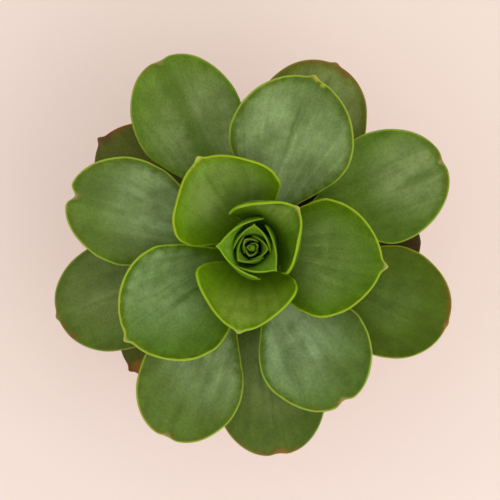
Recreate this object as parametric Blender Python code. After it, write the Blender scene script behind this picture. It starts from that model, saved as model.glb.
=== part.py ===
"""A rosette succulent in a plain round clay pot.

The pot stands on z = 0 with its axis on the origin.
The rosette grows a little off the pot's axis, on the +Y side.
Leaves are numbered from the youngest, leaf_01, to the oldest, leaf_25.
All sizes below are in millimetres and all angles in degrees.
"""

import math
from collections import namedtuple

import bmesh
import bpy
from mathutils import Vector

MM = 0.001
GAP = 0.3  # clearance between pieces that touch

# Driving sizes.
ROSETTE_WIDTH = 161.0
POT_HEIGHT = 78.0
POT_RIM_RADIUS = 47.5
POT_FOOT_RADIUS = 33.0
POT_WALL = 4.0
POT_FLOOR = 5.0
POT_BAND_HEIGHT = 17.0
POT_BAND_STEP = 2.6
POT_LIP_ROUND = 1.4
DRAIN_HOLE_RADIUS = 6.0
SOIL_DROP = 8.0
SOIL_DOME = 2.0

# The plant's own sizes, for a rosette of the nominal width. They grow with it.
NOMINAL_WIDTH = 161.0
PLANT_SCALE = ROSETTE_WIDTH / NOMINAL_WIDTH
STEM_OFFSET = 3.0 * PLANT_SCALE
STEM_FOOT_RADIUS = 8.5 * PLANT_SCALE
STEM_TOP_RADIUS = 1.6 * PLANT_SCALE
STEM_BARE_HEIGHT = 12.6 * PLANT_SCALE
STEM_BURIED_DEPTH = 16.0 * PLANT_SCALE
LEAF_THICKNESS = 3.4 * PLANT_SCALE
LEAF_PITCH = 0.41 * LEAF_THICKNESS  # height of stem taken up by each leaf
LEAF_RIM = 0.9 * PLANT_SCALE
YOUNG_LEAF_RIM = 0.6 * PLANT_SCALE
FULL_LEAF_WIDTH = 45.0 * PLANT_SCALE
BUD_RADIUS = 1.4 * PLANT_SCALE
BUD_HEIGHT = 6.5 * PLANT_SCALE

# Shape of a blade, as shares of its length or half-width. The trough opens out past the
# widest place: its radius stays up while the blade narrows, and a deeply curled one closes more.
FOOT_WIDTH = 0.22
TIP_POWER = 2.1
TIP_CLOSING = 0.3
RIB_TENSION = 0.38
POINT_START = 0.8
POINT_WIDTH = 0.035
NOTCH_WIDTH = 0.08
YOUNG_LEAVES = 7

# Fineness of the meshes.
BLADE_ROWS = 9
BLADE_COLUMNS = 6
LOWER_ROWS_SHARE = 0.55
EDGE_CROWDING = 0.85
POT_SEGMENTS = 48
STEM_SEGMENTS = 20
BUD_SEGMENTS = 12
SMOOTH_ANGLE = 40.0

# azimuth: direction the leaf points, counter-clockwise from +X
# reach, rise: where the tip is, out from the stem's axis and up from the leaf's foot
# width: across the open blade
# foot_slope, tip_slope: climb of the midrib at the foot and at the tip
# curl: half-angle of the trough that the blade is bent into, in radians
# roundness: low for a blunt round end, high for a pointed one
# widest: where the blade is widest, as a share of its length
# flare: low for a blade that is broad from its foot, high for one on a narrow stalk
# point, notch: how far the tip stands out from the margin or is set back in it
Leaf = namedtuple(
    "Leaf",
    "azimuth reach rise width foot_slope tip_slope curl roundness widest flare point notch",
)
LEAVES = [
    Leaf(252.0, 3.1, 9.0, 5.6, 88, 83, 1.15, 0.72, 0.59, 1.5, 0.4, 0.0),
    Leaf(131.0, 4.1, 12.0, 8.6, 87, 80, 1.25, 0.78, 0.59, 1.5, 0.5, 0.0),
    Leaf(356.0, 5.9, 15.5, 12.6, 86, 76, 1.30, 0.86, 0.58, 1.5, 0.6, 0.0),
    Leaf(220.0, 7.0, 19.0, 16.6, 85, 75, 1.35, 0.86, 0.58, 1.5, 0.7, 0.0),
    Leaf(82.0, 8.8, 22.5, 21.0, 83, 75, 1.30, 0.75, 0.58, 1.5, 0.8, 0.0),
    Leaf(317.0, 12.7, 26.0, 26.2, 75, 69, 1.36, 0.80, 0.58, 1.5, 1.1, 0.0),
    Leaf(177.0, 14.2, 30.5, 33.6, 71, 70, 1.38, 0.86, 0.59, 1.5, 1.3, 0.0),
    Leaf(41.0, 22.6, 34.0, 42.5, 66, 48, 1.28, 0.60, 0.60, 1.3, 1.2, 0.0),
    Leaf(261.0, 32.0, 34.5, 45.5, 56, 44, 1.00, 0.58, 0.62, 1.2, 1.4, 0.0),
    Leaf(121.0, 39.3, 34.0, 51.0, 47, 40, 0.90, 0.52, 0.62, 1.1, 1.8, 0.0),
    Leaf(352.0, 51.0, 32.5, 50.0, 46, 32, 0.76, 0.57, 0.64, 1.0, 2.2, 0.0),
    Leaf(216.0, 59.8, 30.5, 50.0, 40, 28, 0.66, 0.51, 0.64, 1.4, 1.8, 0.0),
    Leaf(70.0, 70.6, 28.5, 52.0, 36, 25, 0.60, 0.48, 0.64, 2.0, 1.2, 0.0),
    Leaf(301.0, 71.6, 25.5, 47.0, 32, 23, 0.58, 0.43, 0.66, 2.9, 0.6, 1.5),
    Leaf(163.6, 76.0, 23.0, 44.5, 29, 20, 0.56, 0.43, 0.66, 2.4, 0.6, 2.5),
    Leaf(24.0, 84.0, 21.0, 48.0, 27, 18, 0.54, 0.45, 0.68, 5.0, 0.8, 1.0),
    Leaf(245.6, 83.2, 19.0, 44.0, 24, 16, 0.52, 0.43, 0.70, 4.2, 0.4, 1.0),
    Leaf(116.3, 84.2, 17.0, 45.5, 22, 14, 0.50, 0.44, 0.68, 3.4, 0.4, 1.0),
    Leaf(339.5, 84.2, 15.0, 48.0, 20, 12, 0.48, 0.44, 0.68, 3.4, 0.8, 0.0),
    Leaf(199.5, 83.0, 13.0, 45.5, 18, 10, 0.46, 0.44, 0.66, 3.0, 0.8, 0.0),
    Leaf(65.5, 81.6, 11.0, 47.0, 16, 8, 0.44, 0.46, 0.66, 3.0, 0.8, 0.0),
    Leaf(277.3, 85.0, 9.5, 45.5, 14, 6, 0.44, 0.44, 0.68, 3.0, 0.3, 1.0),
    Leaf(144.5, 75.5, 8.0, 44.0, 12, 4, 0.42, 0.58, 0.62, 3.0, 1.5, 0.0),
    Leaf(2.0, 69.0, 6.5, 42.0, 10, 2, 0.40, 0.55, 0.62, 3.0, 1.2, 0.0),
    Leaf(225.0, 70.0, 5.0, 42.0, 8, 0, 0.40, 0.55, 0.62, 3.0, 1.2, 0.0),
]

# Heights that follow from the sizes above.
SOIL_TOP = POT_HEIGHT - SOIL_DROP
CROWN_HEIGHT = SOIL_TOP + STEM_BARE_HEIGHT + LEAF_PITCH * (len(LEAVES) - 1)
STEM_AXIS = Vector((0.0, STEM_OFFSET, 0.0))

# Colours, as linear RGB.
CLAY = (0.42, 0.155, 0.075)
EARTH = (0.045, 0.03, 0.02)
BARK = (0.16, 0.15, 0.06)
BUD_GREEN = (0.06, 0.12, 0.012)
YOUNG_GREEN = (0.10, 0.19, 0.022)
MATURE_GREEN = (0.16, 0.26, 0.09)
OLD_GREEN = (0.15, 0.17, 0.06)


def clear_scene():
    for obj in list(bpy.data.objects):
        bpy.data.objects.remove(obj, do_unlink=True)


def blend(start, end, share):
    return tuple(a + (b - a) * share for a, b in zip(start, end, strict=True))


def make_material(name, colour, roughness):
    material = bpy.data.materials.new(name)
    material.use_nodes = True
    shader = material.node_tree.nodes["Principled BSDF"]
    shader.inputs["Base Color"].default_value = (*colour, 1.0)
    shader.inputs["Roughness"].default_value = roughness
    shader.inputs["Metallic"].default_value = 0.0
    return material


def make_object(name, points, faces, material):
    """One closed smooth-shaded body from points in millimetres."""
    mesh = bpy.data.meshes.new(name)
    body = bmesh.new()
    corners = [body.verts.new(Vector(point) * MM) for point in points]
    for face in faces:
        body.faces.new([corners[index] for index in face])
    bmesh.ops.recalc_face_normals(body, faces=body.faces)
    body.to_mesh(mesh)
    body.free()
    mesh.shade_smooth()
    mesh.set_sharp_from_angle(angle=math.radians(SMOOTH_ANGLE))
    mesh.materials.append(material)
    obj = bpy.data.objects.new(name, mesh)
    bpy.context.scene.collection.objects.link(obj)
    return obj


def turned_body(profile, segments, centre):
    """Points and faces of a profile of (radius, z) turned about a vertical axis.

    A profile whose ends are on the axis is closed there. Any other profile is a closed ring.
    """
    on_axis = profile[0][0] == 0.0
    points = []
    rings = []
    for radius, z in profile:
        if radius == 0.0:
            rings.append([len(points)] * segments)
            points.append(centre + Vector((0.0, 0.0, z)))
            continue
        rings.append(list(range(len(points), len(points) + segments)))
        for step in range(segments):
            angle = 2.0 * math.pi * step / segments
            spoke = Vector((radius * math.cos(angle), radius * math.sin(angle), z))
            points.append(centre + spoke)
    pairs = list(zip(rings, rings[1:], strict=False))
    if not on_axis:
        pairs.append((rings[-1], rings[0]))
    faces = []
    for lower, upper in pairs:
        for step in range(segments):
            after = (step + 1) % segments
            face = [lower[step], lower[after], upper[after], upper[step]]
            faces.append(list(dict.fromkeys(face)))
    return points, faces


def inner_radius(z):
    """Radius of the pot's inside wall at a height."""
    foot = POT_FOOT_RADIUS - POT_WALL
    top = POT_RIM_RADIUS - POT_BAND_STEP - POT_WALL
    share = (z - POT_FLOOR) / (POT_HEIGHT - POT_FLOOR)
    return foot + (top - foot) * share


def make_pot():
    band_foot = POT_HEIGHT - POT_BAND_HEIGHT
    body_top = inner_radius(band_foot) + POT_WALL
    rim_inside = inner_radius(POT_HEIGHT)
    profile = [
        (DRAIN_HOLE_RADIUS, 0.0),
        (POT_FOOT_RADIUS - POT_LIP_ROUND, 0.0),
        (POT_FOOT_RADIUS, POT_LIP_ROUND),
        (body_top, band_foot),
        (POT_RIM_RADIUS - POT_LIP_ROUND, band_foot),
        (POT_RIM_RADIUS - 0.4 * POT_LIP_ROUND, band_foot + POT_LIP_ROUND),
        (POT_RIM_RADIUS, POT_HEIGHT - POT_LIP_ROUND),
        (POT_RIM_RADIUS - 0.4 * POT_LIP_ROUND, POT_HEIGHT - 0.3 * POT_LIP_ROUND),
        (POT_RIM_RADIUS - POT_LIP_ROUND, POT_HEIGHT),
        (rim_inside + POT_LIP_ROUND, POT_HEIGHT),
        (rim_inside, POT_HEIGHT - POT_LIP_ROUND),
        (inner_radius(POT_FLOOR), POT_FLOOR),
        (DRAIN_HOLE_RADIUS, POT_FLOOR),
    ]
    points, faces = turned_body(profile, POT_SEGMENTS, Vector())
    return make_object("pot", points, faces, make_material("clay", CLAY, 0.85))


def make_soil():
    """The soil fills the pot up to a low dome and is cut by a socket for the stem."""
    bottom = POT_FLOOR + GAP
    profile = [
        (0.0, bottom),
        (inner_radius(bottom) - GAP, bottom),
        (inner_radius(SOIL_TOP - SOIL_DOME) - GAP, SOIL_TOP - SOIL_DOME),
        (0.72 * inner_radius(SOIL_TOP), SOIL_TOP - 0.45 * SOIL_DOME),
        (0.36 * inner_radius(SOIL_TOP), SOIL_TOP - 0.1 * SOIL_DOME),
        (0.0, SOIL_TOP),
    ]
    points, faces = turned_body(profile, POT_SEGMENTS, Vector())
    soil = make_object("soil", points, faces, make_material("earth", EARTH, 0.95))
    depth = STEM_BURIED_DEPTH + GAP
    radius = STEM_FOOT_RADIUS + GAP
    profile = [
        (0.0, SOIL_TOP - depth),
        (radius, SOIL_TOP - depth),
        (radius, SOIL_TOP + depth),
        (0.0, SOIL_TOP + depth),
    ]
    points, faces = turned_body(profile, STEM_SEGMENTS, STEM_AXIS)
    socket = make_object("socket_cutter", points, faces, soil.active_material)
    socket.hide_render = True
    socket.display_type = "WIRE"
    cut = soil.modifiers.new("stem socket", "BOOLEAN")
    cut.operation = "DIFFERENCE"
    cut.solver = "EXACT"
    cut.object = socket
    return soil


def stem_radius(order):
    """Radius of the stem where the leaf of this order in the spiral grows from it."""
    share = order / (len(LEAVES) - 1)
    return STEM_TOP_RADIUS + (STEM_FOOT_RADIUS - STEM_TOP_RADIUS) * share**0.6


def foot_height(order):
    return CROWN_HEIGHT - LEAF_PITCH * order


def make_stem():
    profile = [(0.0, SOIL_TOP - STEM_BURIED_DEPTH)]
    profile.append((0.8 * STEM_FOOT_RADIUS, SOIL_TOP - STEM_BURIED_DEPTH))
    profile.append((STEM_FOOT_RADIUS, SOIL_TOP - 0.85 * STEM_BURIED_DEPTH))
    for order in (24, 18, 13, 9, 6, 4, 2, 1, 0):
        profile.append((stem_radius(order), foot_height(order)))
    profile.append((0.0, CROWN_HEIGHT + 0.2 * STEM_TOP_RADIUS))
    points, faces = turned_body(profile, STEM_SEGMENTS, STEM_AXIS)
    return make_object("stem", points, faces, make_material("bark", BARK, 0.8))


def make_bud():
    """The growing point: leaves too young to have parted, as one pointed cone."""
    foot = CROWN_HEIGHT + 0.2 * STEM_TOP_RADIUS + GAP
    profile = [
        (0.0, foot),
        (0.75 * BUD_RADIUS, foot),
        (BUD_RADIUS, foot + 0.25 * BUD_HEIGHT),
        (0.85 * BUD_RADIUS, foot + 0.55 * BUD_HEIGHT),
        (0.45 * BUD_RADIUS, foot + 0.85 * BUD_HEIGHT),
        (0.0, foot + BUD_HEIGHT),
    ]
    points, faces = turned_body(profile, BUD_SEGMENTS, STEM_AXIS)
    return make_object("bud", points, faces, make_material("bud", BUD_GREEN, 0.5))


def rib_controls(leaf, order):
    """The four control points of the midrib, as (out from the stem's axis, height)."""
    foot = Vector((stem_radius(order) + GAP, foot_height(order)))
    tip = Vector((leaf.reach * PLANT_SCALE, foot.y + leaf.rise * PLANT_SCALE))
    handle = RIB_TENSION * (tip - foot).length
    leaving = math.radians(leaf.foot_slope)
    arriving = math.radians(leaf.tip_slope)
    first = foot + handle * Vector((math.cos(leaving), math.sin(leaving)))
    second = tip - handle * Vector((math.cos(arriving), math.sin(arriving)))
    return foot, first, second, tip


def rib_point(controls, t):
    a, b, c, d = controls
    s = 1.0 - t
    return s**3 * a + 3.0 * s * s * t * b + 3.0 * s * t * t * c + t**3 * d


def rib_slope(controls, t):
    a, b, c, d = controls
    s = 1.0 - t
    along = s * s * (b - a) + 2.0 * s * t * (c - b) + t * t * (d - c)
    return math.atan2(along.y, along.x)


def half_width(leaf, along):
    """Half the blade's width at a share of its length."""
    full = 0.5 * leaf.width * PLANT_SCALE
    if along < leaf.widest:
        swell = math.sin(0.5 * math.pi * along / leaf.widest) ** leaf.flare
        return full * (FOOT_WIDTH + (1.0 - FOOT_WIDTH) * swell)
    beyond = (along - leaf.widest) / (1.0 - leaf.widest)
    return full * max(0.0, 1.0 - beyond**TIP_POWER) ** leaf.roundness


def blade_thickness(leaf, order, along, across):
    """Thick along the midrib and at the foot, thin at the margin and the tip."""
    size = min(1.0, leaf.width * PLANT_SCALE / FULL_LEAF_WIDTH)
    rim = YOUNG_LEAF_RIM if order < YOUNG_LEAVES else LEAF_RIM
    towards_tip = (1.0 - 0.45 * along) * math.sqrt(min(1.0, 4.0 * (1.0 - along)))
    towards_margin = (1.0 - across * across) ** 0.7
    return LEAF_THICKNESS * size * towards_tip * towards_margin + rim


def blade_points(leaf, order, controls, along, across):
    """The points of the upper and the lower face at one place on the blade.

    along runs from 0 at the foot to 1 at the tip, and across from -1 to 1 between the margins.
    """
    length = (controls[3] - controls[0]).length
    width = leaf.width * PLANT_SCALE
    bend = leaf.curl * (0.5 + 0.5 * min(1.0, 2.0 * along))
    reference = half_width(leaf, along)
    if along > leaf.widest:
        beyond = (along - leaf.widest) / (1.0 - leaf.widest)
        closing = TIP_CLOSING * (1.0 + leaf.curl) * beyond**2
        reference = max(reference, 0.5 * width * (1.0 - closing))
    radius = reference / bend
    angle = half_width(leaf, along) * across / radius
    side = radius * math.sin(angle)
    lift = radius * (1.0 - math.cos(angle))

    fade = max(0.0, (along - POINT_START) / (1.0 - POINT_START)) ** 2
    point = leaf.point * math.exp(-((side / (POINT_WIDTH * width)) ** 2))
    notch = leaf.notch * math.exp(-((side / (NOTCH_WIDTH * width)) ** 2))
    t = along + fade * (point - notch) * PLANT_SCALE / length

    out, height = rib_point(controls, t)
    slope = rib_slope(controls, t)
    azimuth = math.radians(leaf.azimuth)
    outward = Vector((math.cos(azimuth), math.sin(azimuth), 0.0))
    sideways = Vector((-math.sin(azimuth), math.cos(azimuth), 0.0))
    upward = Vector((0.0, 0.0, 1.0))
    rib_normal = upward * math.cos(slope) - outward * math.sin(slope)
    normal = rib_normal * math.cos(angle) - sideways * math.sin(angle)
    upper = STEM_AXIS + outward * out + upward * height
    upper = upper + sideways * side + rib_normal * lift
    lower = upper - normal * blade_thickness(leaf, order, along, across)
    return upper, lower


def blade_stations(leaf):
    """Shares of the length at which the blade has a row of points, closer near the tip."""
    stations = []
    for row in range(BLADE_ROWS):
        share = row / BLADE_ROWS
        if share < LOWER_ROWS_SHARE:
            stations.append(leaf.widest * share / LOWER_ROWS_SHARE)
            continue
        turn = 0.5 * math.pi * (share - LOWER_ROWS_SHARE) / (1.0 - LOWER_ROWS_SHARE)
        stations.append(leaf.widest + (1.0 - leaf.widest) * math.sin(turn))
    return stations


def make_leaf(leaf, order):
    controls = rib_controls(leaf, order)
    across_shares = []
    for column in range(BLADE_COLUMNS + 1):
        share = 2.0 * column / BLADE_COLUMNS - 1.0
        across_shares.append(math.copysign(abs(share) ** EDGE_CROWDING, share))
    upper = []
    lower = []
    for along in blade_stations(leaf):
        for across in across_shares:
            top, bottom = blade_points(leaf, order, controls, along, across)
            upper.append(top)
            lower.append(bottom)
    top, bottom = blade_points(leaf, order, controls, 1.0, 0.0)
    upper.append(top)
    lower.append(bottom)

    columns = BLADE_COLUMNS + 1
    tip = len(upper) - 1
    sheet = []
    for row in range(BLADE_ROWS - 1):
        for column in range(BLADE_COLUMNS):
            corner = row * columns + column
            sheet.append([corner, corner + columns, corner + columns + 1, corner + 1])
    last_row = (BLADE_ROWS - 1) * columns
    for column in range(BLADE_COLUMNS):
        sheet.append([last_row + column, tip, last_row + column + 1])
    left_margin = [row * columns for row in range(BLADE_ROWS)]
    right_margin = [row * columns + BLADE_COLUMNS for row in reversed(range(BLADE_ROWS))]
    foot_edge = list(reversed(range(1, BLADE_COLUMNS)))
    outline = [*left_margin, tip, *right_margin, *foot_edge]

    shift = len(upper)
    faces = [*sheet]
    faces += [[index + shift for index in reversed(face)] for face in sheet]
    for here, there in zip(outline, [*outline[1:], outline[0]], strict=True):
        faces.append([here, here + shift, there + shift, there])

    name = f"leaf_{order + 1:02d}"
    age = order / (len(LEAVES) - 1)
    if age < 0.5:
        colour = blend(YOUNG_GREEN, MATURE_GREEN, 2.0 * age)
    else:
        colour = blend(MATURE_GREEN, OLD_GREEN, 2.0 * age - 1.0)
    material = make_material(name, colour, 0.5)
    return make_object(name, upper + lower, faces, material)


def main():
    clear_scene()
    make_pot()
    make_soil()
    make_stem()
    make_bud()
    for order, leaf in enumerate(LEAVES):
        make_leaf(leaf, order)


main()
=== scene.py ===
"""Looks of the potted succulent: detailed leaves, stem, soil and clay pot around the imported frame.

Lengths of the plant and the pot are in millimetres until make_piece turns points into metres.
Angles are in degrees in the tables.
The rosette is lit softly and seen from straight above, as a plant standing on a pale table.
"""

import math
import random
from collections import namedtuple

import bpy
import numpy as np
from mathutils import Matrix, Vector, noise


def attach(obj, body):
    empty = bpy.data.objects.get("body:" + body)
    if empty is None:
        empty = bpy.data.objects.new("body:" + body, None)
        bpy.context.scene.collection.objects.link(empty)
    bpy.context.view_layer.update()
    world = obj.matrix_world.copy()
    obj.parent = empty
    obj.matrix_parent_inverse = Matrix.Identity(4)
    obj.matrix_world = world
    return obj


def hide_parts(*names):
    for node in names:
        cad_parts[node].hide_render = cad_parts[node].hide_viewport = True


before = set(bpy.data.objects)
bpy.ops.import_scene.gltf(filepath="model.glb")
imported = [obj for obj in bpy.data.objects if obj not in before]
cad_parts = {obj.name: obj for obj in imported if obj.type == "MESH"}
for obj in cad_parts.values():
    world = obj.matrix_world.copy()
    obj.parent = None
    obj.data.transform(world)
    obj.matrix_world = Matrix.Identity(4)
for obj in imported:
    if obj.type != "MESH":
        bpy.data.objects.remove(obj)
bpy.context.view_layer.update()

MM = 0.001

# The stem. STEM_Y is how far its axis stands off the pot's.
STEM_Y = 3.0
STEM_FOOT_RADIUS = 8.5
STEM_TOP_RADIUS = 1.6
STEM_BARE_HEIGHT = 12.6
STEM_BURIED_DEPTH = 16.0
STEM_SEGMENTS = 72
STEM_RINGS = 60

# Leaf thicknesses: in the middle of a full-sized leaf's foot, and at the margin. Each leaf starts
# LEAF_PITCH below the one before it. Leaves narrower than FULL_LEAF_WIDTH are thinner in proportion.
# BODY_ROUNDING and BODY_TAPER say how the thickness falls off to the margin and to the tip.
LEAF_THICKNESS = 3.4
LEAF_PITCH = 0.41 * LEAF_THICKNESS
LEAF_RIM = 0.9
YOUNG_LEAF_RIM = 0.6
YOUNG_LEAVES = 7
FULL_LEAF_WIDTH = 45.0
BODY_ROUNDING = 0.7
BODY_TAPER = 0.45

# Leaf shape: width of the foot as a share of the whole, roundness of the end, length of the
# midrib's curve handles as a share of the leaf's, where the tip's point or notch begins, their
# widths as shares of the leaf's, and how far the trough closes towards the tip.
FOOT_WIDTH = 0.22
TIP_POWER = 2.1
RIB_TENSION = 0.38
POINT_START = 0.8
POINT_WIDTH = 0.035
NOTCH_WIDTH = 0.055
TIP_CLOSING = 0.3

# The pot and the soil. POT_WOBBLE and POT_TURNING are how far the pot is out of true and how deep
# its turning lines are, as shares of its radius.
POT_HEIGHT = 78.0
POT_RIM_RADIUS = 47.5
POT_FOOT_RADIUS = 33.0
POT_WALL = 4.0
POT_FLOOR = 5.0
POT_BAND_HEIGHT = 17.0
POT_BAND_STEP = 2.6
POT_LIP_ROUND = 1.4
POT_STEP = 2.0
POT_SEGMENTS = 144
POT_WOBBLE = 0.0035
POT_TURNING = 0.0012
DRAIN_HOLE_RADIUS = 6.0
SOIL_DROP = 8.0
SOIL_DOME = 2.0
SOIL_SEGMENTS = 120
SOIL_RINGS = 34
GAP = 0.3
SOIL_TOP = POT_HEIGHT - SOIL_DROP

# Grit on the soil: how many pieces, their smallest and largest radius, and the seed.
CRUMBS = (420, (0.5, 1.5), 11)
PERLITE = (90, (0.6, 1.3), 12)

# azimuth: direction the leaf points, counter-clockwise from +X
# reach, rise: where the tip is, out from the stem's axis and up from the leaf's foot
# width: across the open blade
# foot_slope, tip_slope: climb of the midrib at the foot and at the tip
# curl: half-angle of the trough that the blade is bent into, in radians
# roundness: low for a blunt round end, high for a pointed one
# widest: where the blade is widest, as a share of its length
# flare: low for a blade that is broad from its foot, high for one on a narrow stalk
# point, notch: how far the tip stands out from the margin or is set back in it
Leaf = namedtuple(
    "Leaf",
    "azimuth reach rise width foot_slope tip_slope curl roundness widest flare point notch",
)
LEAVES = [
    Leaf(252.0, 3.0, 9.0, 7.0, 88, 76, 1.60, 1.00, 0.56, 1.5, 0.2, 0.0),
    Leaf(131.0, 4.0, 12.0, 10.0, 87, 74, 1.60, 1.20, 0.56, 1.5, 0.3, 0.0),
    Leaf(356.0, 6.0, 15.5, 14.0, 86, 66, 1.60, 1.50, 0.54, 1.5, 0.4, 0.0),
    Leaf(222.0, 7.2, 19.0, 18.0, 86, 64, 1.70, 1.60, 0.54, 1.5, 0.4, 0.0),
    Leaf(85.0, 8.9, 22.5, 24.0, 84, 60, 1.65, 1.80, 0.52, 1.5, 0.6, 0.0),
    Leaf(317.0, 12.8, 26.0, 30.0, 82, 50, 1.60, 1.90, 0.52, 1.5, 0.8, 0.0),
    Leaf(177.0, 13.6, 30.5, 36.0, 82, 50, 1.58, 1.90, 0.52, 1.5, 1.0, 0.0),
    Leaf(41.0, 22.6, 34.0, 42.5, 66, 48, 1.28, 0.60, 0.60, 1.3, 1.2, 0.0),
    Leaf(261.0, 32.0, 34.5, 45.5, 56, 44, 1.00, 0.58, 0.62, 1.2, 1.4, 0.0),
    Leaf(121.0, 39.3, 34.0, 51.0, 47, 40, 0.90, 0.52, 0.62, 1.1, 1.8, 0.0),
    Leaf(352.0, 51.0, 32.5, 50.0, 46, 32, 0.76, 0.57, 0.64, 1.0, 2.2, 0.0),
    Leaf(216.0, 59.8, 30.5, 50.0, 40, 28, 0.66, 0.51, 0.64, 1.4, 1.8, 0.0),
    Leaf(70.0, 70.6, 28.5, 52.0, 36, 25, 0.60, 0.48, 0.64, 2.6, 1.2, 0.0),
    Leaf(301.0, 71.6, 25.5, 47.0, 32, 23, 0.58, 0.43, 0.66, 2.9, 0.3, 1.7),
    Leaf(163.6, 76.0, 23.0, 44.5, 29, 20, 0.56, 0.43, 0.66, 2.4, 0.0, 2.7),
    Leaf(24.5, 84.0, 21.0, 47.2, 27, 18, 0.54, 0.45, 0.68, 5.0, 0.0, 0.7),
    Leaf(245.6, 83.2, 19.0, 44.0, 24, 16, 0.52, 0.43, 0.70, 4.2, 0.4, 1.0),
    Leaf(116.3, 84.2, 17.0, 45.5, 22, 14, 0.50, 0.44, 0.68, 3.4, 0.4, 1.0),
    Leaf(338.8, 84.2, 15.0, 46.8, 20, 12, 0.48, 0.44, 0.68, 4.0, 0.4, 0.0),
    Leaf(199.5, 83.0, 13.0, 45.5, 18, 10, 0.46, 0.44, 0.66, 3.0, 0.8, 0.0),
    Leaf(65.5, 81.6, 11.0, 47.0, 16, 8, 0.44, 0.46, 0.66, 3.0, 0.8, 0.0),
    Leaf(277.3, 85.0, 9.5, 45.5, 14, 6, 0.44, 0.44, 0.68, 3.0, 0.3, 1.0),
    Leaf(144.5, 75.5, 8.0, 44.0, 12, 4, 0.42, 0.58, 0.62, 3.0, 1.5, 0.0),
    Leaf(2.0, 69.0, 6.5, 42.0, 10, 2, 0.40, 0.55, 0.62, 3.0, 0.1, 0.0),
    Leaf(225.0, 70.0, 5.0, 42.0, 8, 0, 0.40, 0.55, 0.62, 3.0, 1.2, 0.0),
]
CROWN_HEIGHT = SOIL_TOP + STEM_BARE_HEIGHT + LEAF_PITCH * (len(LEAVES) - 1)

# Leaves of the growing point, which the bud is made of.
BUD_LEAVES = [
    Leaf(29.5, 2.3, 8.4, 5.0, 88, 80, 1.50, 0.80, 0.60, 1.5, 0.2, 0.0),
    Leaf(167.0, 1.6, 8.0, 3.6, 88, 80, 1.60, 0.80, 0.60, 1.5, 0.2, 0.0),
    Leaf(304.5, 0.9, 7.6, 2.4, 88, 84, 1.70, 0.80, 0.60, 1.5, 0.1, 0.0),
]

# What is left of the growing point inside them: radius and rise of a small soft dome.
BUD_LIFT = 0.6
BUD_CORE = [(0.0, 0.0), (1.0, 0.0), (1.5, 2.0), (1.6, 4.5), (1.3, 6.4), (0.7, 7.2), (0.0, 7.4)]

# Fineness of the blades. RIM_COLUMNS are the places of the columns nearest the margin, as shares
# of the rim's thickness. The rows end on the midrib at SPINE_END of the length, and are closer
# together towards the tip. Where margin and midrib are less than NARROW_SPAN apart, the rim's
# columns close up.
BLADE_ROWS = 60
HALF_COLUMNS = 24
RIM_COLUMNS = (0.0, 0.04, 0.14, 0.28, 0.45, 0.68, 1.0, 1.4)
SPINE_END = 0.88
TIP_CROWDING = 1.6
COLUMN_CROWDING = 1.15
NARROW_SPAN = 5.0
OUTLINE_STEPS = 600

# The bud's leaves. Each one's foot is BUD_FOOT_STEP closer in than the one before it. The bloom is
# thickest BUD_HEART along them, and spreads BUD_HEART_SIZE from there.
BUD_ROWS = 24
BUD_HALF_COLUMNS = 14
BUD_RIM = 0.4
BUD_CORE_SEGMENTS = 24
BUD_SEED = 40
BUD_FOOT_RADIUS = 0.9
BUD_FOOT_STEP = 0.3
BUD_HEART = 6.0
BUD_HEART_SIZE = 4.0

# Unevenness of the blades: ripples of the outline, as turns along it and a share of the width,
# and waves of the whole blade, in millimetres. WAVE_AT_MIDRIB is their share of that there.
RIPPLE_TURNS = (3.0, 5.0, 8.0)
RIPPLE = 0.032
WAVE_COUNT = 5
WAVE_LENGTHS = (16.0, 40.0)
WAVE_HEIGHT = 0.11
WAVE_AT_MIDRIB = 0.35

# The camera, straight above, and half the table's side. Places and sizes are in metres.
CAMERA_PLACE = (-0.0008, 0.0022, 1.0)
LENS = 160.2
SENSOR_WIDTH = 36.0
CLIP_START = 0.05
TABLE_HALF = 3.0

# The lamp, in metres and watts, the height it is aimed at, and the pale surround.
LAMP_PLACE = (0.75, -0.5, 1.35)
LAMP_SIZE = 1.3
LAMP_POWER = 5.0
LAMP_COLOUR = (1.0, 0.98, 0.95)
AIM_HEIGHT = 0.08
ROOM_COLOUR = (1.0, 0.99, 0.98, 1.0)
ROOM_STRENGTH = 1.0


def linear(red, green, blue):
    """A colour given as screen values from 0 to 255, as linear RGBA."""
    channels = []
    for value in (red, green, blue):
        share = value / 255.0
        channels.append(share / 12.92 if share <= 0.04045 else ((share + 0.055) / 1.055) ** 2.4)
    return (*channels, 1.0)


# ---------------------------------------------------------------- materials


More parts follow.
